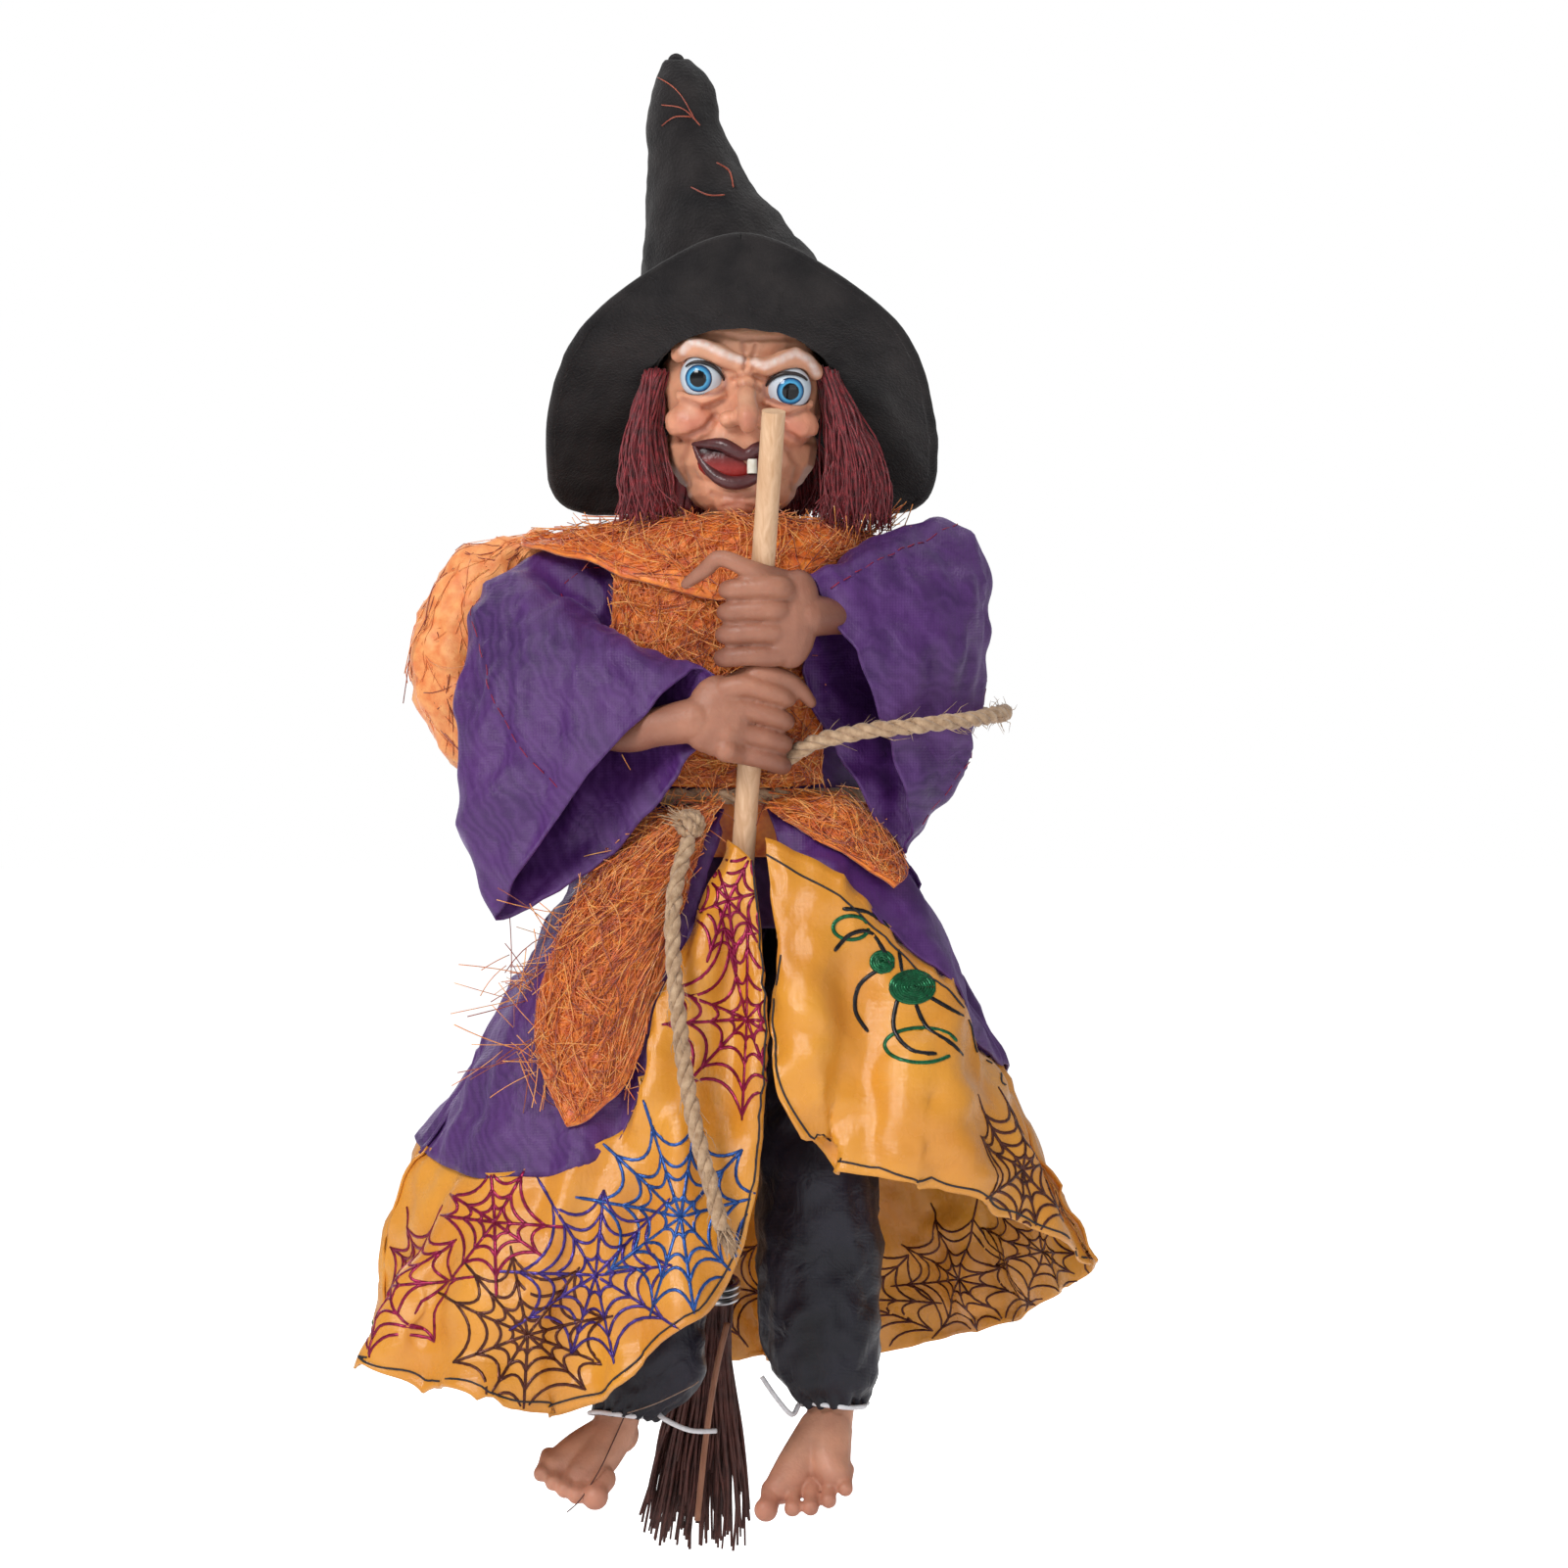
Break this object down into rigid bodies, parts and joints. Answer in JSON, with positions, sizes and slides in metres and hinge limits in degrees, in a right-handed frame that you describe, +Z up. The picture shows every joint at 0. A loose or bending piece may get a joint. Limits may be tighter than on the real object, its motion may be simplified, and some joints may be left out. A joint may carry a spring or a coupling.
{
  "type": "animated witch figure",
  "caption": "Hanging witch doll on a broomstick, in a felt hat, mesh shawl, purple dress and gold web-print hem, with a sound and motion unit in the torso.",
  "frame": {"origin": "middle of the hanging eye's hole at the nape", "axes": "+Z up to the hat, -Y to the front, +X to the viewer's right of the front view"},
  "size_m": [0.1751, 0.1195, 0.36],
  "materials": {
    "felt": "matte",
    "face_vinyl": "satin",
    "hand_vinyl": "satin",
    "eye": "gloss",
    "tooth": "gloss",
    "hair": "satin",
    "casing": "matte",
    "dark_plastic": "matte",
    "cell": "gloss",
    "steel": "brushed",
    "brass": "satin",
    "board": "gloss",
    "taffeta": "satin",
    "satin": "satin",
    "fibre_mesh": "matte",
    "trousers": "satin",
    "jute": "matte",
    "elastic": "matte",
    "stick_wood": "matte",
    "twig": "matte"
  },
  "bodies": {
    "torso": {"neck_post": "casing", "unit_front_shell": "casing", "unit_back_shell": "casing", "battery_cells": "cell", "battery_contacts": "steel", "circuit_board": "board", "speaker": "dark_plastic", "microphone": "steel", "motor": "steel", "switch_body": "dark_plastic", "unit_screws": "steel", "hip_pin": "steel", "dress_bodice": "taffeta", "skirt_back": "taffeta", "skirt_left": "taffeta", "skirt_right": "taffeta", "hem_back": "satin", "hem_left": "satin", "hem_right": "satin", "apron_left": "fibre_mesh", "apron_right": "fibre_mesh", "shawl_collar": "fibre_mesh", "shawl_front": "fibre_mesh", "shawl_tail": "fibre_mesh", "sleeve_left": "taffeta", "sleeve_right": "taffeta", "arm_wire_left": "steel", "arm_wire_right": "steel", "hand_left": "hand_vinyl", "hand_right": "hand_vinyl", "waist_rope": "jute", "rope_wrap": "jute", "rope_tail": "jute"},
    "head": {"hat_crown": "felt", "hat_brim": "felt", "head": "face_vinyl", "eyeball_left": "eye", "eyeball_right": "eye", "tooth": "tooth", "hair_left": "hair", "hair_right": "hair", "hair_back": "hair"},
    "leg_left": {"leg_rod_left": "casing", "trouser_left": "trousers", "foot_left": "face_vinyl", "ankle_tie_left": "elastic"},
    "leg_right": {"leg_rod_right": "casing", "trouser_right": "trousers", "foot_right": "face_vinyl", "ankle_tie_right": "elastic"},
    "broom": {"broomstick": "stick_wood", "bristles": "twig", "bristle_binding": "jute"},
    "weight": {"eccentric_weight": "brass"},
    "cover": {"battery_cover": "casing"},
    "knob": {"switch_knob": "dark_plastic"}
  },
  "joints": [
    {"name": "head_turn", "type": "hinge", "parent": "torso", "child": "head", "pos_m": [0, -0.03, 0], "axis": [0, 0, 1], "range_deg": [-20, 20]},
    {"name": "leg_left_swing", "type": "hinge", "parent": "torso", "child": "leg_left", "pos_m": [0, -0.032, -0.081], "axis": [-1, 0, 0], "range_deg": [0, 10]},
    {"name": "leg_right_swing", "type": "hinge", "parent": "torso", "child": "leg_right", "pos_m": [0, -0.032, -0.081], "axis": [-1, 0, 0], "range_deg": [-5, 10]},
    {"name": "broom_slide", "type": "slide", "parent": "torso", "child": "broom", "axis": [-0.0675, 0.2848, -0.9562], "range_m": [0, 0.008]},
    {"name": "motor_spin", "type": "hinge", "parent": "torso", "child": "weight", "pos_m": [0, -0.037, -0.066], "axis": [1, 0, 0], "continuous": true},
    {"name": "cover_slide", "type": "slide", "parent": "torso", "child": "cover", "axis": [0, 0, -1], "range_m": [0, 0.02]},
    {"name": "switch_slide", "type": "slide", "parent": "torso", "child": "knob", "axis": [0, 0, 1], "range_m": [0, 0.003]}
  ]
}
